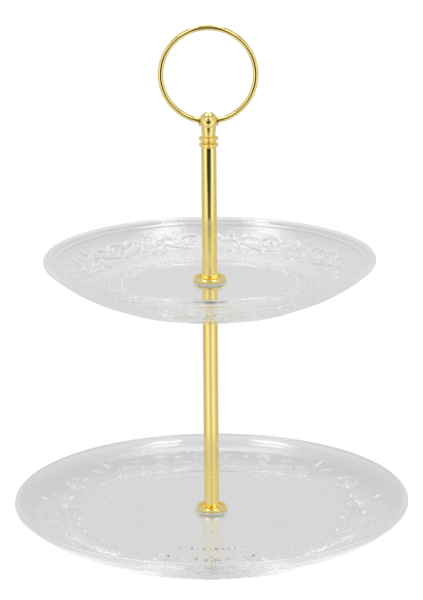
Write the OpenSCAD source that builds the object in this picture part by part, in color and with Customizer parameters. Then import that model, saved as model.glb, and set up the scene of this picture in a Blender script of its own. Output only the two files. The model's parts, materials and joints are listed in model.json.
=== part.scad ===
// Two-tier cake stand: two pressed-glass plates clamped on a gilt centre rod that screws together,
// with a finial and a carrying ring on top. Millimetres, +Z up, the origin at the centre of the
// circle that the lower plate stands on.

/* [Lower plate] */
// Diameter of the lower plate
lower_plate_d = 250; // [230:1:280]
// Height of its rim above the table
lower_plate_h = 21; // [19:0.5:26]
// Diameter of the ring that it stands on
lower_foot_d = 192; // [150:1:200]
// Height of its food surface above the table
lower_well_z = 10.5; // [10:0.25:12]
// Diameter of the moulded ridge, carrying beads, round its middle
lower_bead_ring_d = 141; // [60:1:170]

/* [Upper plate] */
// Diameter of the upper plate
upper_plate_d = 207; // [190:1:225]
// Height of its rim above its own foot ring
upper_plate_h = 25.7; // [22:0.1:30]
// Diameter of its foot ring
upper_foot_d = 130; // [110:1:145]
// Height of its food surface above its own foot ring
upper_well_z = 9; // [8.5:0.25:11]
// Diameter of the moulded ridge, carrying beads, round its middle
upper_bead_ring_d = 110; // [50:1:112]
// Height of its foot ring's plane above the table
upper_tier_z = 152.3; // [120:0.1:220]

/* [Glass] */
// Thickness of the flat middle of a plate
well_thickness = 5; // [4:0.25:5]
// Thickness of a plate at its rim
rim_thickness = 4; // [3:0.1:5]
// Diameter of the drilled hole in the middle of a plate
glass_hole_d = 10; // [9.5:0.25:11]

/* [Rods] */
// Outer diameter of both rod tubes
tube_d = 9.5; // [9.5:0.25:11]
// Height of the seam between the upper rod and the finial
rod_top_z = 247.3; // [240:0.1:330]

/* [Flanges and washers] */
// Diameter of the dished flange on the upper plate
upper_flange_d = 20.4; // [18:0.2:24]
// Diameter of the dished flange on the lower plate
lower_flange_d = 19; // [18:0.5:24]
// Height of a dished flange
flange_h = 2.4; // [2.2:0.1:3]
// Diameter of the soft washers under the dished flanges, whose edges show
top_washer_d = 21.2; // [15:0.1:24]
// Diameter of the flat-topped flange under the upper plate
support_flange_d = 16; // [14:0.5:20]
// Diameter of the soft washers under the plates
under_washer_d = 15; // [12:0.5:18]

/* [Ring] */
// Diameter of the carrying ring, to the middle of its wire
ring_d = 58.2; // [45:0.1:70]
// Diameter of the ring's wire
ring_wire_d = 3.4; // [3:0.1:3.5]

/* [Hidden] */
// Curves are drawn with this many sides; the solids made from them are true rounds.
$fn = 96;

// Clearances
running = 0.05;         // radial, between a screw thread and its nut
snug = 0.01;            // radial, between a plug and the tube that it is pressed into

// Tubes and the nuts and plugs in them
tube_wall = 0.8;
tube_bore_r = tube_d / 2 - tube_wall;
plug_r = tube_bore_r - snug;
nut_lip_r = plug_r + 0.85;
nut_lip_h = 0.4;
nut_length = 13.3;

// Screw threads, drawn as plain rounds at their outer diameter
m6_r = 3 - running;
m6_nut_r = 3;
m5_r = 2.5 - running;
m5_nut_r = 2.5;

// Flanges and soft washers
flange_floor = 1.2;     // metal under the end of the tube
soft_washer_h = 1;
washer_bore_r = nut_lip_r + 0.1;
stud_washer_bore_r = 3.3;

// Stack on the lower plate, from the foot screw's head up to the lower rod
lower_under_z = lower_well_z - well_thickness;
foot_washer_h = 1.2;
foot_washer_z = lower_under_z - soft_washer_h - foot_washer_h;
foot_washer_r = 8;
foot_screw_head_h = 2.2;
foot_screw_head_r = 6.5;
lower_flange_z = lower_well_z + soft_washer_h;
lower_tube_z = lower_flange_z + flange_floor;

// Stack on the upper plate, from the top of the lower rod up to the upper rod
upper_under_z = upper_tier_z + upper_well_z - well_thickness;
support_flange_h = 2;
support_flange_z = upper_under_z - soft_washer_h - support_flange_h;
upper_well_top = upper_tier_z + upper_well_z;
upper_flange_z = upper_well_top + soft_washer_h;
upper_tube_z = upper_flange_z + flange_floor;

// Length of thread that each of the two hand-tightened joints engages
engagement = 10;
stud_top = upper_flange_z + engagement;
plug_length = 12;
end_plug_length = 10;

// Finial: heights are above the seam with the upper rod, radii at those heights
ball_r = 5.7;
ball_z = 16.1;          // middle of the ball, where the ring passes through
boss_r = 2.95;          // small cheeks round the mouths of the cross bore
boss_reach = 6.1;
collar_r = 6.1;
collar_bead_r = 1.1;
waist_bead_r = 0.8;     // small bead between the two collars
waist_r = 4.6;
notch_r = 4.2;
neck_r = 4;
neck_z = 6.4;
lower_collar_z = 1.4;
upper_collar_z = 5.4;
finial_stud_length = 16;
ball_centre_z = rod_top_z + ball_z;

// The ring bows by this much inside the ball's cross bore, half of it below the bore's axis
ring_bow = pow(ball_r - 0.5, 2) / ring_d;
cross_bore_r = ring_wire_d / 2 + ring_bow / 2 + 0.22;
ring_centre_z = ball_centre_z + ring_d / 2 - ring_bow / 2;
ring_split_deg = 1;

// Points of a quadratic Bezier curve from a to c, pulled towards b.
function bezier(a, b, c, steps) =
    [for (i = [0 : steps]) let (s = i / steps) (1 - s) * (1 - s) * a + 2 * s * (1 - s) * b + s * s * c];

// Points of an arc about a centre, from one angle to another.
function arc(centre, r, from, to, steps) =
    [for (i = [0 : steps]) let (a = from + (to - from) * i / steps) centre + r * [cos(a), sin(a)]];

// A solid of revolution with one hole along its axis.
module ring_disc(outer_r, inner_r, h) {
    difference() {
        cylinder(r = outer_r, h = h);
        translate([0, 0, -1]) cylinder(r = inner_r, h = h + 2);
    }
}

// Half section of a pressed-glass plate. The border sweeps up from the foot ring at a growing slope
// and ends in a rounded rim; a low moulded ridge runs round the flat middle.
module plate_section(rim_r, rim_z, foot_r, well_z, bead_ring_r) {
    foot_chamfer = 0.6;
    foot_wall = 1;
    foot_w = 4;
    foot_slope_w = 2;   // sloped inner side of the foot ring, seen from above
    under_z = well_z - well_thickness;
    border_r = foot_r - 6;  // where the flat middle turns up into the border
    ridge_h = 0.8;
    ridge_r = 1.2;      // half of the ridge's width
    lip_r = rim_thickness / 2;
    lip_centre = [rim_r - lip_r, rim_z - lip_r];
    outer_slope = 42;   // of the border's two faces where they meet the rim
    inner_slope = 46;
    outer_end = lip_centre + lip_r * [sin(outer_slope), -cos(outer_slope)];
    inner_end = lip_centre - lip_r * [sin(outer_slope), -cos(outer_slope)];
    outer_pull = 0.6 * (rim_r - foot_r);
    inner_pull = (inner_end[1] - well_z) / tan(inner_slope);
    steps = 10;
    outside = bezier([foot_r, foot_wall], outer_end - outer_pull * [cos(outer_slope), sin(outer_slope)],
                     outer_end, steps);
    inside = bezier(inner_end, [inner_end[0] - inner_pull, well_z], [border_r, well_z], steps);
    ridge = [for (i = [0 : 6]) [bead_ring_r + ridge_r * cos(30 * i), well_z + ridge_h * sin(30 * i)]];
    polygon(concat(
        [[glass_hole_d / 2, under_z], [foot_r - foot_w - foot_slope_w, under_z]],
        [[foot_r - foot_w, foot_chamfer], [foot_r - foot_w + foot_chamfer, 0]],
        [[foot_r - foot_chamfer, 0], [foot_r, foot_chamfer]],
        outside,
        arc(lip_centre, lip_r, outer_slope - 75, outer_slope + 75, 8),
        inside, ridge,
        [[glass_hole_d / 2, well_z]]));
}

module lower_plate() {
    color([0.9, 0.93, 0.92, 0.35])
        rotate_extrude()
            plate_section(lower_plate_d / 2, lower_plate_h, lower_foot_d / 2, lower_well_z,
                          lower_bead_ring_d / 2);
}

module upper_plate() {
    color([0.9, 0.93, 0.92, 0.35])
        translate([0, 0, upper_tier_z])
            rotate_extrude()
                plate_section(upper_plate_d / 2, upper_plate_h, upper_foot_d / 2, upper_well_z,
                              upper_bead_ring_d / 2);
}

// Soft plastic washer that keeps metal off the glass.
module soft_washer(z, outer_d, bore_r) {
    color("ivory") translate([0, 0, z]) ring_disc(outer_d / 2, bore_r, soft_washer_h);
}

// Dished flange under the end of a tube: a flat floor that the tube stands on and a rolled rim.
// A counterbore below takes the lip of the tube's nut, which keeps the flange on the tube.
module dished_flange(outer_r, z) {
    rim_w = 1.6;
    rim_arc_r = rim_w / 2;
    dish_r = outer_r - rim_w;
    color("gold") translate([0, 0, z]) difference() {
        rotate_extrude() polygon(concat(
            [[0, 0], [outer_r - 0.5, 0], [outer_r, 0.5]],
            arc([outer_r - rim_arc_r, flange_h - rim_arc_r], rim_arc_r, 0, 180, 8),
            [[dish_r - 0.6, flange_floor], [0, flange_floor]]));
        translate([0, 0, -1]) cylinder(r = plug_r + running, h = flange_h + 2);
        translate([0, 0, -1]) cylinder(r = nut_lip_r + 0.1, h = 1 + nut_lip_h + 0.1);
    }
}

// Threaded nut pressed into the end of a tube, with the lip that holds the flange on.
module tube_nut(z) {
    color("silver") translate([0, 0, z + 0.05]) difference() {
        union() {
            cylinder(r = nut_lip_r, h = nut_lip_h);
            cylinder(r = plug_r, h = nut_length);
        }
        translate([0, 0, -1]) cylinder(r = m6_nut_r, h = nut_length + 2);
    }
}

// Plug pressed into a tube's top end, bored for the stud that is screwed into it.
module tube_plug(z, length, bore_r) {
    color("silver") translate([0, 0, z]) ring_disc(plug_r, bore_r, length);
}

module rod_tube(z, top_z) {
    color("gold") translate([0, 0, z]) ring_disc(tube_d / 2, tube_bore_r, top_z - z);
}

module foot_washer() {
    color("silver")
        translate([0, 0, foot_washer_z]) ring_disc(foot_washer_r, stud_washer_bore_r, foot_washer_h);
}

// Screw under the lower plate. Its low domed head stays clear of the table, and a coin slot turns it.
module foot_screw() {
    slot_w = 1.6;
    slot_depth = 1;
    dome_r = foot_screw_head_r - 1.5;
    shank_top = lower_flange_z + engagement;
    color("silver") translate([0, 0, foot_washer_z]) difference() {
        union() {
            rotate_extrude() polygon(concat(
                [[0, 0], [foot_screw_head_r, 0], [foot_screw_head_r, -0.8]],
                [[dome_r, -foot_screw_head_h], [0, -foot_screw_head_h]]));
            cylinder(r = m6_r, h = shank_top - foot_washer_z);
        }
        translate([-dome_r - 2, -slot_w / 2, -foot_screw_head_h - 1])
            cube([2 * dome_r + 4, slot_w, slot_depth + 1]);
    }
}

// Stud that joins the two rods through the upper plate.
module joining_stud() {
    color("silver")
        translate([0, 0, support_flange_z - plug_length + 1])
            cylinder(r = m6_r, h = stud_top - support_flange_z + plug_length - 1);
}

// Flat-topped flange on the lower rod's top end that carries the upper plate.
module support_flange() {
    edge = 0.6;
    flange_r = support_flange_d / 2;
    color("gold") translate([0, 0, support_flange_z]) difference() {
        rotate_extrude() polygon([
            [0, 0], [tube_d / 2 + 1, 0], [flange_r - edge, support_flange_h - 1.2],
            [flange_r, support_flange_h - 0.6], [flange_r, support_flange_h], [0, support_flange_h]]);
        translate([0, 0, -1]) cylinder(r = stud_washer_bore_r, h = support_flange_h + 2);
    }
}

module finial_stud() {
    color("silver")
        translate([0, 0, rod_top_z - end_plug_length + 1])
            cylinder(r = m5_r, h = finial_stud_length);
}

// Half section of the finial: two beaded collars, a tapered neck and the ball.
module finial_section() {
    seat_r = tube_d / 2;
    collar_centre_r = collar_r - collar_bead_r;
    waist_z = (lower_collar_z + upper_collar_z) / 2;
    ball_join = -35;
    ball_start = ball_r * [cos(ball_join), sin(ball_join)] + [0, ball_z];
    polygon(concat(
        [[0, 0], [seat_r, 0]],
        arc([collar_centre_r, lower_collar_z], collar_bead_r, -70, 70, 8),
        [[notch_r, waist_z - waist_bead_r]],
        arc([waist_r - waist_bead_r, waist_z], waist_bead_r, -50, 50, 5),
        [[notch_r, waist_z + waist_bead_r]],
        arc([collar_centre_r, upper_collar_z], collar_bead_r, -70, 70, 8),
        bezier([neck_r, neck_z], [ball_start[0] - 0.1, ball_start[1] - 2], ball_start, 6),
        arc([0, ball_z], ball_r, ball_join + 6, 90, 16)));
}

module finial() {
    color("gold") translate([0, 0, rod_top_z]) difference() {
        union() {
            rotate_extrude() finial_section();
            translate([0, 0, ball_z]) rotate([0, 90, 0])
                cylinder(r = boss_r, h = 2 * boss_reach, center = true);
        }
        translate([0, 0, ball_z]) rotate([0, 90, 0])
            cylinder(r = cross_bore_r, h = 4 * ball_r, center = true);
        translate([0, 0, -1]) cylinder(r = m5_nut_r, h = finial_stud_length - end_plug_length + 2.5);
    }
}

// Wire ring through the ball. Its ends butt inside the ball, where the joint doesn't show.
module ring_handle() {
    color("gold") translate([0, 0, ring_centre_z]) rotate([90, 0, 0])
        rotate([0, 0, -90 + ring_split_deg / 2])
            rotate_extrude(angle = 360 - ring_split_deg)
                translate([ring_d / 2, 0]) circle(r = ring_wire_d / 2);
}

lower_plate();
soft_washer(lower_under_z - soft_washer_h, under_washer_d, stud_washer_bore_r);  // lower_plate_under_washer
foot_washer();
foot_screw();
soft_washer(lower_well_z, top_washer_d, washer_bore_r);  // lower_plate_top_washer
dished_flange(lower_flange_d / 2, lower_flange_z);  // lower_flange
tube_nut(lower_flange_z);  // lower_rod_nut
rod_tube(lower_tube_z, support_flange_z);  // lower_rod_tube
tube_plug(support_flange_z - plug_length, plug_length, m6_nut_r);  // lower_rod_plug
joining_stud();
support_flange();
soft_washer(upper_under_z - soft_washer_h, under_washer_d, stud_washer_bore_r);  // upper_plate_under_washer
upper_plate();
soft_washer(upper_well_top, top_washer_d, washer_bore_r);  // upper_plate_top_washer
dished_flange(upper_flange_d / 2, upper_flange_z);  // upper_flange
tube_nut(upper_flange_z);  // upper_rod_nut
rod_tube(upper_tube_z, rod_top_z);  // upper_rod_tube
tube_plug(rod_top_z - end_plug_length, end_plug_length, m5_nut_r);  // upper_rod_plug
finial_stud();
finial();
ring_handle();
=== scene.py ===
"""Looks of the two-tier cake stand: pressed-glass plates, polished gilt rod, finial and ring handle.

The plates and the screw threads are worked out in millimetres and scaled by MM. Everything else is
in metres, as in the frame.
"""

import json
import math

import bpy
import numpy as np
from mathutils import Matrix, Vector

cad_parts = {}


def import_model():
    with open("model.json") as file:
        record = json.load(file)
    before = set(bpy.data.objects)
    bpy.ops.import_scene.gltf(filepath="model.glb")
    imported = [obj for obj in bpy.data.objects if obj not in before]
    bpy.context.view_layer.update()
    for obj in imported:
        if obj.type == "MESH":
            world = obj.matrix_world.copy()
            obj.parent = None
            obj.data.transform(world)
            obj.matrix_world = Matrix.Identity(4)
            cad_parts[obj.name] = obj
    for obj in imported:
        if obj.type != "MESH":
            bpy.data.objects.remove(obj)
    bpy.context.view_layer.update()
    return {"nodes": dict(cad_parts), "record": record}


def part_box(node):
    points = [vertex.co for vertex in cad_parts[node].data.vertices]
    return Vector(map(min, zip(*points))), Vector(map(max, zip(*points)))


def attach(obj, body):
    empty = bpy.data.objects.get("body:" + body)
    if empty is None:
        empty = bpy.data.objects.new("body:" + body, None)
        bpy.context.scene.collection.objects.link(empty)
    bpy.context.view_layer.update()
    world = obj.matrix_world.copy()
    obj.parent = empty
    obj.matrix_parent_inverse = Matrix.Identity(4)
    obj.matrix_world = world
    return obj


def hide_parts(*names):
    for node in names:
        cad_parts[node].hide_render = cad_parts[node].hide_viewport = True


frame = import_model()

MM = 0.001
TAU = 2 * math.pi


# ---------------------------------------------------------------- small shape helpers

def smooth_step(low, high, x):
    """0 below low, 1 above high, and a smooth rise between them. Works with high under low too."""
    t = np.clip((x - low) / (high - low), 0, 1)
    return t * t * (3 - 2 * t)


def ridge(distance, half_width):
    """A soft ridge of height 1 along a line: distance is how far each point is from the line."""
    return np.cos(np.clip(distance / half_width, -1, 1) * math.pi / 2) ** 2


def bezier(a, b, c, steps):
    """Points of a quadratic Bezier curve from a to c, pulled towards b."""
    s = np.linspace(0, 1, steps + 1)[:, None]
    return (1 - s) ** 2 * np.array(a) + 2 * s * (1 - s) * np.array(b) + s ** 2 * np.array(c)


def line(a, b, steps):
    """Evenly spaced points from a to b."""
    s = np.linspace(0, 1, steps + 1)[:, None]
    return (1 - s) * np.array(a, float) + s * np.array(b, float)


def arc(centre, radius, start_deg, end_deg, steps):
    """Points of an arc about a centre."""
    a = np.radians(np.linspace(start_deg, end_deg, steps + 1))
    return np.array(centre) + radius * np.stack([np.cos(a), np.sin(a)], 1)


def resample(points, spacing):
    """Points along a polyline at about one spacing apart, with its two ends kept."""
    points = np.array(points, float)
    run = np.concatenate([[0], np.cumsum(np.linalg.norm(np.diff(points, axis=0), axis=1))])
    count = max(2, int(round(run[-1] / spacing)) + 1)
    at = np.linspace(0, run[-1], count)
    return np.stack([np.interp(at, run, points[:, k]) for k in (0, 1)], 1)


def grid_mesh(name, co, closed_rows, closed_columns):
    """A mesh from a grid of points, co[row, column], whose rows and columns may close on themselves."""
    rows, columns = co.shape[:2]
    i = np.arange(rows if closed_rows else rows - 1)
    j = np.arange(columns if closed_columns else columns - 1)
    i, j = np.meshgrid(i, j, indexing="ij")
    i2, j2 = (i + 1) % rows, (j + 1) % columns
    quads = np.stack([i * columns + j, i2 * columns + j, i2 * columns + j2, i * columns + j2], -1)
    mesh = bpy.data.meshes.new(name)
    mesh.from_pydata(co.reshape(-1, 3).tolist(), [], quads.reshape(-1, 4).tolist())
    mesh.shade_smooth()
    mesh.update()
    piece = bpy.data.objects.new(name, mesh)
    bpy.context.scene.collection.objects.link(piece)
    return piece


# ---------------------------------------------------------------- pressed-glass plates

STEM_HALF_WIDTH = 2         # mm, of the wave that runs round the border
SPIRAL_HALF_WIDTH = 1.7     # mm, of the coils in its bends
SPIRAL_TURNS = 3
LEAVES = 7                  # round each coil
VEIN_HALF_WIDTH = 0.35      # mm, of the groove down the middle of a leaf
BEAD_R = 1.6                # mm
BEAD_SPACING = 3.6          # mm
BEAD_HEIGHT = 0.5           # mm
RAYS = 48                   # grooves under the lower plate's middle
RAYS_START = (33, 40)       # mm from the rod, over which the grooves deepen
RAYS_END = (62, 52)         # mm from the rod, over which they run out
OUTER_SLOPE_DEG = 42        # of the border's underside where it meets the rim
INNER_SLOPE_DEG = 46        # of its top side there
TOP, RIM, UNDERSIDE, HOLE = range(4)


def scroll_relief(s, t, wave_length, half_band):
    """Height, 0 to 1, of a leafy wave scroll. s runs along the border and t across it, in mm.

    Each bend of the wave holds a coil with a five-petalled blossom in it and leaves round it.
    """
    swing = 0.26 * half_band
    stem_t = swing * np.sin(TAU * s / wave_length)
    slope = swing * TAU / wave_length * np.cos(TAU * s / wave_length)
    height = 0.9 * ridge((t - stem_t) / np.sqrt(1 + slope ** 2), STEM_HALF_WIDTH)
    coil_r = 0.52 * half_band
    for centre_s, side in ((0.25 * wave_length, 1), (0.75 * wave_length, -1)):
        ds = (s - centre_s + wave_length / 2) % wave_length - wave_length / 2
        dt = side * t + 0.16 * half_band
        reach = np.hypot(ds, dt)
        angle = np.arctan2(dt, ds) % TAU
        for turn in range(SPIRAL_TURNS):
            spiral_r = coil_r * (1 - 0.32 * (angle / TAU + turn))
            on_spiral = smooth_step(1.5, 2.5, spiral_r)
            height = np.maximum(height, on_spiral * ridge(reach - spiral_r, SPIRAL_HALF_WIDTH))
        petal_r = 0.2 * half_band * (1 + 0.25 * np.cos(5 * angle))
        blossom = smooth_step(petal_r + 0.5, petal_r - 0.9, reach)
        height = np.maximum(height, blossom * (0.6 + 0.4 * smooth_step(0.6, 1.6, reach)))
        for leaf in range(LEAVES):
            turn_to = math.radians(-25 + 230 * leaf / (LEAVES - 1))
            out_s, out_t = math.cos(turn_to), math.sin(turn_to)
            middle = coil_r + 0.24 * half_band
            along = (ds - middle * out_s) * out_s + (dt - middle * out_t) * out_t
            across = -(ds - middle * out_s) * out_t + (dt - middle * out_t) * out_s
            across = across - 0.05 * along ** 2 / 2
            half_long, half_wide = 0.31 * half_band, 0.15 * half_band
            lobe = ridge(np.hypot(along / half_long, across / half_wide), 1)
            vein = 1 - 0.55 * np.exp(-(across / VEIN_HALF_WIDTH) ** 2)
            height = np.maximum(height, 0.85 * lobe * vein)
    return height


def beads(radius, angle, ring_r):
    """Height, 0 to 1, of a ring of soft beads."""
    count = round(TAU * ring_r / BEAD_SPACING)
    step = TAU / count
    off = ((angle + step / 2) % step - step / 2) * ring_r
    return ridge(np.hypot(off, radius - ring_r), BEAD_R)


def plate_profile(node, foot_r, well_z, bead_ring_r, well_glass, rim_glass, hole_r, fine, coarse):
    """Closed half section of a plate in mm, as the CAD has it but for the ridge that the beads replace.

    Returns the points, the face that each is on, and the height of the plate's foot in the frame.
    """
    low, high = (np.array(corner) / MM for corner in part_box(node))
    base, rim_r = low[2], high[0]
    rim_z = high[2] - base
    lip_r = rim_glass / 2
    lip = np.array([rim_r - lip_r, rim_z - lip_r])
    border_r = foot_r - 6
    outer_slope, inner_slope = math.radians(OUTER_SLOPE_DEG), math.radians(INNER_SLOPE_DEG)
    away = lip_r * np.array([math.sin(outer_slope), -math.cos(outer_slope)])
    outer_end, inner_end = lip + away, lip - away
    outer_pull = 0.6 * (rim_r - foot_r) * np.array([math.cos(outer_slope), math.sin(outer_slope)])
    inner_pull = (inner_end[1] - well_z) / math.tan(inner_slope)
    under_z = well_z - well_glass
    plain_r = bead_ring_r - 8
    border = bezier([border_r, well_z], [inner_end[0] - inner_pull, well_z], inner_end, 60)
    top = np.concatenate([
        resample(line([hole_r + 0.4, well_z], [plain_r, well_z], 4), coarse),
        resample(line([plain_r, well_z], [bead_ring_r + 3, well_z], 4), fine * 0.6)[1:],
        resample(line([bead_ring_r + 3, well_z], [border_r, well_z], 4), fine)[1:],
        resample(border, fine)[1:],
    ])
    rim = arc(lip, lip_r, 90 + OUTER_SLOPE_DEG, OUTER_SLOPE_DEG - 90, 14)[1:-1]
    # Under the border, round the foot ring, whose face on the table is 2.8 mm wide, and in to the hole.
    under = np.concatenate([
        resample(bezier(outer_end, outer_end - outer_pull, [foot_r, 1], 40), coarse),
        [[foot_r, 0.6], [foot_r - 0.2, 0.2], [foot_r - 0.6, 0], [foot_r - 3.4, 0]],
        [[foot_r - 3.8, 0.2], [foot_r - 4, 0.6]],
        [[foot_r - 5.8, under_z - 0.3], [foot_r - 6.4, under_z]],
        resample(line([foot_r - 6.4, under_z], [hole_r + 0.4, under_z], 4), coarse)[1:],
    ])
    hole = np.array([[hole_r, under_z + 0.4], [hole_r, well_z - 0.4]])
    sections = ((top, TOP), (rim, RIM), (under, UNDERSIDE), (hole, HOLE))
    points = np.concatenate([section for section, _ in sections])
    face = np.concatenate([np.full(len(section), kind) for section, kind in sections])
    return points, face, base


def pressed_plate(name, node, segments, foot_r, well_z, bead_ring_r, band, waves, relief, ray_depth,
                  shape):
    """A pressed-glass plate: a leaf scroll on its border and a ring of beads.

    Where ray_depth isn't 0, it has faint rays under its middle. relief and ray_depth are in mm.
    """
    points, face, base = plate_profile(node, foot_r, well_z, bead_ring_r, **shape)
    following, previous = np.roll(points, -1, 0), np.roll(points, 1, 0)
    tangent = following - previous
    tangent /= np.linalg.norm(tangent, axis=1)[:, None]
    normal = np.stack([-tangent[:, 1], tangent[:, 0]], 1)
    angle = np.linspace(0, TAU, segments, endpoint=False)
    radius = np.repeat(points[:, :1], segments, 1)
    turned = np.repeat(angle[None, :], len(points), 0)
    top, under = (face == TOP)[:, None], (face == UNDERSIDE)[:, None]
    band_in, band_out = band
    middle, half_band = (band_in + band_out) / 2, (band_out - band_in) / 2
    wave_length = TAU * middle / waves
    along = (turned * middle) % wave_length
    inside = smooth_step(half_band, half_band - 1.2, np.abs(radius - middle))
    leaf = scroll_relief(along, radius - middle, wave_length, half_band)
    height = relief * leaf * inside
    # A raised line runs just outside the band, and a fainter one inside the beads.
    height += 0.2 * ridge(radius - band_out - 0.8, 0.9)
    height += BEAD_HEIGHT * beads(radius, turned, bead_ring_r)
    height += 0.06 * ridge(radius - bead_ring_r + 4.5, 1)
    fade = smooth_step(*RAYS_START, radius) * smooth_step(*RAYS_END, radius)
    groove = np.abs(np.sin(turned * RAYS / 2))
    grooves = ray_depth * fade * (1 - groove) ** 0.7
    lift = np.where(top, height, 0) + np.where(under, -grooves, 0)
    out = points[:, None, :] + lift[..., None] * normal[:, None, :]
    co = np.stack([out[..., 0] * np.cos(turned), out[..., 0] * np.sin(turned), out[..., 1] + base], -1)
    piece = grid_mesh(name, co * MM, True, True)
    stipple = piece.data.attributes.new("stipple", "FLOAT", "POINT")
    ground = np.where(top, inside * (1 - smooth_step(0.15, 0.5, leaf)), 0)
    stipple.data.foreach_set("value", ground.astype(np.float32).ravel())
    return piece


# ---------------------------------------------------------------- screw threads

def threaded_rod(name, node, pitch):
    """A stud with a real helical thread inside the plain CAD cylinder, chamfered at its ends."""
    low, high = (np.array(corner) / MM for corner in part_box(node))
    outer_r, bottom, top = high[0], low[2], high[2]
    depth, chamfer, segments, rings_a_turn = 0.6 * pitch, 0.6, 40, 10
    z = np.linspace(bottom, top, int((top - bottom) / pitch * rings_a_turn))
    turned = np.linspace(0, TAU, segments, endpoint=False)
    zz, aa = np.meshgrid(z, turned, indexing="ij")
    phase = ((zz - bottom) / pitch - aa / TAU) % 1
    cut = np.clip(2.6 * np.abs(phase - 0.5) - 0.15, 0, 1)
    r = outer_r - depth * cut
    from_end = np.minimum(zz - bottom, top - zz)
    r = np.minimum(r, outer_r - depth + np.clip(from_end, 0, chamfer) / chamfer * depth)
    body = np.stack([r * np.cos(aa), r * np.sin(aa), zz], -1)
    tip = np.stack([0.01 * np.cos(turned), 0.01 * np.sin(turned)], -1)
    ends = [np.concatenate([tip, np.full((segments, 1), level)], 1)[None] for level in (bottom, top)]
    return grid_mesh(name, np.concatenate([ends[0], body, ends[1]]) * MM, False, True)


# ---------------------------------------------------------------- materials

def material(name):
    """A new node material: itself, its node tree and its Principled shader."""
    made = bpy.data.materials.new(name)
    made.use_nodes = True
    return made, made.node_tree, made.node_tree.nodes["Principled BSDF"]


def noise(tree, scale, detail=3, stretch=(1, 1, 1)):
    """Noise in object coordinates; scale is in features a metre."""
    place = tree.nodes.new("ShaderNodeTexCoord")
    mapping = tree.nodes.new("ShaderNodeMapping")
    mapping.inputs["Scale"].default_value = stretch
    made = tree.nodes.new("ShaderNodeTexNoise")
    made.inputs["Scale"].default_value = scale
    made.inputs["Detail"].default_value = detail
    tree.links.new(place.outputs["Object"], mapping.inputs["Vector"])
    tree.links.new(mapping.outputs["Vector"], made.inputs["Vector"])
    return made.outputs["Fac"]


def spread(tree, source, low, high, target):
    """Maps a 0 to 1 output to a range and drives a shader's input with it."""
    ranger = tree.nodes.new("ShaderNodeMapRange")
    ranger.inputs["To Min"].default_value = low
    ranger.inputs["To Max"].default_value = high
    tree.links.new(source, ranger.inputs["Value"])
    tree.links.new(ranger.outputs["Result"], target)


def tint(tree, shader, scale, first, second):
    """Varies the base colour gently between two colours; scale is in features a metre."""
    mix = tree.nodes.new("ShaderNodeMix")
    mix.data_type = "RGBA"
    mix.inputs[6].default_value = (*first, 1)
    mix.inputs[7].default_value = (*second, 1)
    tree.links.new(noise(tree, scale), mix.inputs[0])
    tree.links.new(mix.outputs[2], shader.inputs["Base Color"])


def bump(tree, source, distance, strength, shader):
    """Bump of a stated depth in metres on a shader's normal."""
    made = tree.nodes.new("ShaderNodeBump")
    made.inputs["Distance"].default_value = distance
    made.inputs["Strength"].default_value = strength
    tree.links.new(source, made.inputs["Height"])
    tree.links.new(made.outputs["Normal"], shader.inputs["Normal"])


def glass_material():
    """Clear glass, with a fine stipple where the plates' stipple attribute asks for it."""
    made, tree, shader = material("pressed_glass")
    shader.inputs["Base Color"].default_value = (0.99, 0.998, 0.993, 1)
    shader.inputs["Transmission Weight"].default_value = 1
    shader.inputs["IOR"].default_value = 1.5
    spread(tree, noise(tree, 90), 0.0, 0.03, shader.inputs["Roughness"])
    mask = tree.nodes.new("ShaderNodeAttribute")
    mask.attribute_name = "stipple"
    grain = tree.nodes.new("ShaderNodeTexVoronoi")
    grain.inputs["Scale"].default_value = 750
    place = tree.nodes.new("ShaderNodeTexCoord")
    tree.links.new(place.outputs["Object"], grain.inputs["Vector"])
    masked = tree.nodes.new("ShaderNodeMath")
    masked.operation = "MULTIPLY"
    tree.links.new(grain.outputs["Distance"], masked.inputs[0])
    tree.links.new(mask.outputs["Fac"], masked.inputs[1])
    bump(tree, masked.outputs["Value"], 0.00008, 1, shader)
    return made


def gilt_material():
    """Polished gilt, with faint lengthwise polishing lines."""
    made, tree, shader = material("gilt_metal")
    tint(tree, shader, 60, (0.95, 0.77, 0.29), (0.93, 0.74, 0.26))
    shader.inputs["Metallic"].default_value = 1
    spread(tree, noise(tree, 900, 2, (1, 1, 0.05)), 0.06, 0.14, shader.inputs["Roughness"])
    bump(tree, noise(tree, 260, 2), 0.00002, 0.25, shader)
    return made


def steel_material():
    """Bright zinc-plated steel."""
    made, tree, shader = material("zinc_steel")
    shader.inputs["Metallic"].default_value = 1
    tint(tree, shader, 300, (0.8, 0.8, 0.82), (0.86, 0.85, 0.81))
    spread(tree, noise(tree, 700), 0.24, 0.4, shader.inputs["Roughness"])
    return made


def washer_material():
    """Soft cream plastic that light enters a little."""
    made, tree, shader = material("soft_washer")
    tint(tree, shader, 400, (0.98, 0.95, 0.88), (0.96, 0.92, 0.82))
    shader.inputs["Subsurface Weight"].default_value = 0.15
    shader.inputs["Subsurface Scale"].default_value = 0.001
    spread(tree, noise(tree, 500), 0.35, 0.5, shader.inputs["Roughness"])
    bump(tree, noise(tree, 1500), 0.00002, 0.5, shader)
    return made


LOOKS = {
    "pressed_glass": glass_material(),
    "gilt_metal": gilt_material(),
    "zinc_steel": steel_material(),
    "soft_washer": washer_material(),
}


def dress(piece, slot):
    """Gives a piece the one material of a slot."""
    piece.data.materials.clear()
    piece.data.materials.append(LOOKS[slot])


# ---------------------------------------------------------------- the stand

for part in frame["record"]["subparts"]:
    dress(frame["nodes"][part["node"]], part["material_slot"])

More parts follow.
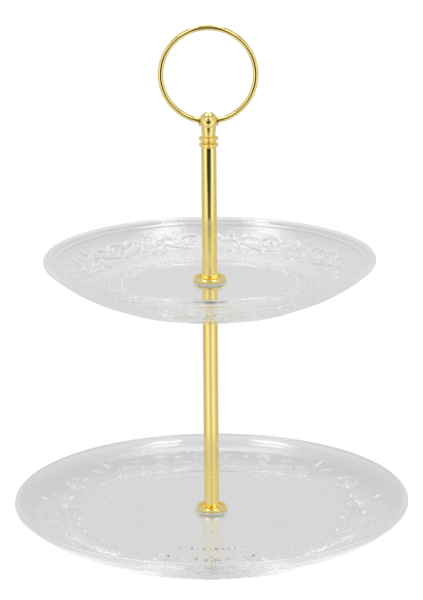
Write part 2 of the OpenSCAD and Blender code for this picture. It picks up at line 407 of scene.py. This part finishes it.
# fine and coarse are the spacing of the mesh's rings where there is a pattern and where there is none.
glass_shape = {"well_glass": 5, "rim_glass": 4, "hole_r": 5, "fine": 0.6, "coarse": 3.2}
PLATES = (
    ("lower_plate_glass", "lower_plate", "base_plate", 960,
     {"foot_r": 96, "well_z": 10.5, "bead_ring_r": 70.5, "band": (76, 116), "waves": 9, "relief": 1.05,
      "ray_depth": 0.25, "shape": glass_shape}),
    ("upper_plate_glass", "upper_plate", "top_plate", 800,
     {"foot_r": 65, "well_z": 9, "bead_ring_r": 55, "band": (64.5, 96), "waves": 10, "relief": 0.8,
      "ray_depth": 0, "shape": glass_shape}),
)
for name, node, body, segments, sizes in PLATES:
    plate = pressed_plate(name, node, segments, **sizes)
    dress(plate, "pressed_glass")
    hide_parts(node)
    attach(plate, body)

for name, node, body, pitch in (
    ("joining_stud_thread", "joining_stud", "lower_rod", 1.0),
    ("finial_stud_thread", "finial_stud", "upper_rod", 0.8),
):
    stud = threaded_rod(name, node, pitch)
    dress(stud, "zinc_steel")
    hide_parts(node)
    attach(stud, body)


# ---------------------------------------------------------------- floor, light and camera

WHITE = 1.04    # of the floor and the background as the camera sees them, just past pure white
GREY = 0.68     # how bright the studio looks through the glass and behind the stand
SIDE = 0.85     # and to its sides and front
HIGH = 0.6      # and overhead, between the softboxes
CARD = 0.14     # and where the dark card stands in front
# How bright the floor looks in the metal by bearing: 0 is in front of the stand and 1 is behind it.
BEHIND = ((0.42, 0.76), (0.55, 0.58), (0.7, GREY))
NEAR_FLOOR = ((0, 0.66), (0.06, 0.7), (0.14, 1.05), (0.24, 1.1)) + BEHIND
FAR_FLOOR = ((0, 0.08), (0.065, 0.11), (0.115, 0.42), (0.17, 1.05), (0.3, 1.1)) + BEHIND
RING_FLOOR = ((0, 0.03), (0.11, 0.04), (0.19, 0.5), (0.24, 1.4), (0.3, 1.35)) + BEHIND
# Where the near floor turns into the far one, which the upper rod mirrors, and that into the one that
# the ring mirrors, in metres from the rod.
NEAR_TO_FAR = (0.5, 0.62)
FAR_TO_RING = (0.9, 0.98)
# How bright the floor looks straight through the glass, by distance from the rod in metres.
# The dip to 0.6 at 0.12 m is a painted soft shadow round the lower plate's edge, and the rise to 0.8 at
# 0.2 m is a painted glow like caustic light.
THROUGH = ((0, GREY), (0.09, GREY), (0.12, 0.6), (0.2, 0.8), (0.35, 0.77), (0.95, 0.6))
# The share of THROUGH in what a ray sees that was mirrored first and then went through glass.
GLASS_SHARE = 0.55
FLOOR_SIZE = 60
# Light runs round inside the glass rims many times before it comes out, and cut short, it leaves them
# black.
BOUNCES = 96


def chain(tree, operation, *values):
    """A Math node fed by sockets or numbers; gives its output."""
    made = tree.nodes.new("ShaderNodeMath")
    made.operation = operation
    for socket, value in zip(made.inputs, values):
        if isinstance(value, (int, float)):
            socket.default_value = value
        else:
            tree.links.new(value, socket)
    return made.outputs[0]


def ramp(tree, source, stops):
    """Grey levels along a 0 to 1 value, eased between stops of (position, level)."""
    made = tree.nodes.new("ShaderNodeValToRGB")
    made.color_ramp.interpolation = "EASE"
    made.color_ramp.elements[0].position = stops[0][0]
    made.color_ramp.elements[1].position = stops[-1][0]
    for position, _ in stops[1:-1]:
        made.color_ramp.elements.new(position)
    for element, (_, level) in zip(made.color_ramp.elements, stops):
        element.color = (level, level, level, 1)
    tree.links.new(source, made.inputs["Fac"])
    return made.outputs["Color"]


def smooth_range(tree, source, low, high):
    """0 below low, 1 above high, and a smooth rise between them."""
    made = tree.nodes.new("ShaderNodeMapRange")
    made.interpolation_type = "SMOOTHSTEP"
    made.inputs["From Min"].default_value = low
    made.inputs["From Max"].default_value = high
    tree.links.new(source, made.inputs["Value"])
    return made.outputs["Result"]


def blend(tree, factor, first, second):
    """Mixes two colours; each is a socket or a grey level."""
    made = tree.nodes.new("ShaderNodeMix")
    made.data_type = "RGBA"
    tree.links.new(factor, made.inputs[0])
    for socket, value in ((made.inputs[6], first), (made.inputs[7], second)):
        if isinstance(value, (int, float)):
            socket.default_value = (value, value, value, 1)
        else:
            tree.links.new(value, socket)
    return made.outputs[2]


def glow_plane(name, size, seen_by):
    """A square at floor level that only gives light, seen by the named kinds of ray."""
    bpy.ops.mesh.primitive_plane_add(size=size, location=(0, 0, 0))
    made = bpy.context.object
    made.name = name
    paint = bpy.data.materials.new(name)
    paint.use_nodes = True
    tree = paint.node_tree
    tree.nodes.clear()
    output = tree.nodes.new("ShaderNodeOutputMaterial")
    glow = tree.nodes.new("ShaderNodeEmission")
    tree.links.new(glow.outputs["Emission"], output.inputs["Surface"])
    made.data.materials.append(paint)
    for kind in ("camera", "diffuse", "glossy", "transmission", "shadow"):
        setattr(made, "visible_" + kind, kind in seen_by)
    return made, tree, glow


def floor():
    """White to the eye. In the metal it is the studio's even grey, with a dark patch in front and a
    bright one to either side of that. Straight through the glass it is grey with a painted soft shadow
    round the lower plate's edge and a painted glow, like caustic light, beyond that."""
    _, _, glow = glow_plane("floor", FLOOR_SIZE, ("camera",))
    glow.inputs["Strength"].default_value = WHITE
    _, tree, glow = glow_plane("mirrored_floor", FLOOR_SIZE, ("glossy", "transmission", "diffuse"))
    place = tree.nodes.new("ShaderNodeTexCoord")
    split = tree.nodes.new("ShaderNodeSeparateXYZ")
    tree.links.new(place.outputs["Object"], split.inputs["Vector"])
    aside = chain(tree, "ABSOLUTE", split.outputs["X"])
    front = chain(tree, "MULTIPLY", split.outputs["Y"], -1)
    bearing = chain(tree, "DIVIDE", chain(tree, "ARCTAN2", aside, front), math.pi)
    reach = chain(tree, "SQRT", chain(tree, "ADD", chain(tree, "MULTIPLY", aside, aside),
                                      chain(tree, "MULTIPLY", front, front)))
    near_and_far = blend(tree, smooth_range(tree, reach, *NEAR_TO_FAR),
                         ramp(tree, bearing, NEAR_FLOOR), ramp(tree, bearing, FAR_FLOOR))
    mirrored = blend(tree, smooth_range(tree, reach, *FAR_TO_RING),
                     near_and_far, ramp(tree, bearing, RING_FLOOR))
    rays = tree.nodes.new("ShaderNodeLightPath")
    reflected = smooth_range(tree, rays.outputs["Glossy Depth"], 0, 1)
    past_glass = chain(tree, "MULTIPLY", rays.outputs["Is Transmission Ray"], GLASS_SHARE)
    off_metal = chain(tree, "MULTIPLY", reflected, chain(tree, "SUBTRACT", 1, past_glass))
    # Straight through the glass the floor shows a painted shadow and a painted caustic glow.
    through = ramp(tree, reach, THROUGH)
    tree.links.new(blend(tree, off_metal, through, mirrored), glow.inputs["Color"])


def front_card():
    """An upright dark card in front, seen only in polished surfaces and not in reflections of those."""
    card, tree, glow = glow_plane("front_card", 1, ("glossy",))
    rays = tree.nodes.new("ShaderNodeLightPath")
    again = smooth_range(tree, rays.outputs["Glossy Depth"], 1, 2)
    tree.links.new(blend(tree, again, CARD, SIDE), glow.inputs["Color"])
    card.scale = (0.8, 1.5, 1)
    card.location = (0, -1.8, 0.95)
    card.rotation_euler = (math.radians(90), 0, 0)


def world():
    """White to the eye. What lights the stand is grey behind, brighter at the sides, dimmer high up."""
    made = bpy.data.worlds.new("studio")
    made.use_nodes = True
    tree = made.node_tree
    back = tree.nodes["Background"]
    place = tree.nodes.new("ShaderNodeTexCoord")
    split = tree.nodes.new("ShaderNodeSeparateXYZ")
    tree.links.new(place.outputs["Generated"], split.inputs["Vector"])
    low = blend(tree, smooth_range(tree, split.outputs["Y"], 0.2, 0.7), SIDE, GREY)
    level = blend(tree, smooth_range(tree, split.outputs["Z"], 0.35, 0.65), low, HIGH)
    rays = tree.nodes.new("ShaderNodeLightPath")
    eye = blend(tree, rays.outputs["Is Camera Ray"], level, WHITE)
    tree.links.new(eye, back.inputs["Color"])
    bpy.context.scene.world = made


def softbox(name, place, width, length, brightness):
    """An area light that faces straight down; brightness is how it looks beside a white of 1."""
    light = bpy.data.lights.new(name, "AREA")
    light.shape = "RECTANGLE"
    light.size = width
    light.size_y = length
    light.energy = brightness * math.pi * width * length
    made = bpy.data.objects.new(name, light)
    bpy.context.scene.collection.objects.link(made)
    made.location = place


def camera():
    """The main view: from the front, looking 15.54 degrees down, with a slight roll."""
    data = bpy.data.cameras.new("camera")
    made = bpy.data.objects.new("camera", data)
    bpy.context.scene.collection.objects.link(made)
    data.sensor_width = 36
    data.lens = 167.3
    data.clip_end = FLOOR_SIZE
    made.location = (0.0046, -1.678, 0.616)
    made.rotation_euler = (math.radians(90 - 15.54), math.radians(0.45), 0)
    bpy.context.scene.camera = made


floor()
world()
front_card()
for name, place, width, length, brightness in (
    ("softbox_left", (-0.42, 0.22, 1.45), 0.26, 0.64, 5),
    ("softbox_right", (0.32, 0.22, 1.45), 0.24, 0.64, 5),
    ("rear_softbox", (0, 0.9, 1.45), 0.7, 0.5, 3),
    ("front_softbox_left", (-0.75, -1.0, 1.35), 0.5, 0.5, 2.5),
    ("front_softbox_right", (0.75, -1.0, 1.35), 0.5, 0.5, 2.5),
):
    softbox(name, place, width, length, brightness)
camera()
bpy.context.scene.view_settings.view_transform = "Standard"
for limit in ("max_bounces", "transmission_bounces", "glossy_bounces"):
    setattr(bpy.context.scene.cycles, limit, BOUNCES)
bpy.context.scene.cycles.sample_clamp_indirect = 1.3
bpy.context.scene.cycles.use_denoising = True
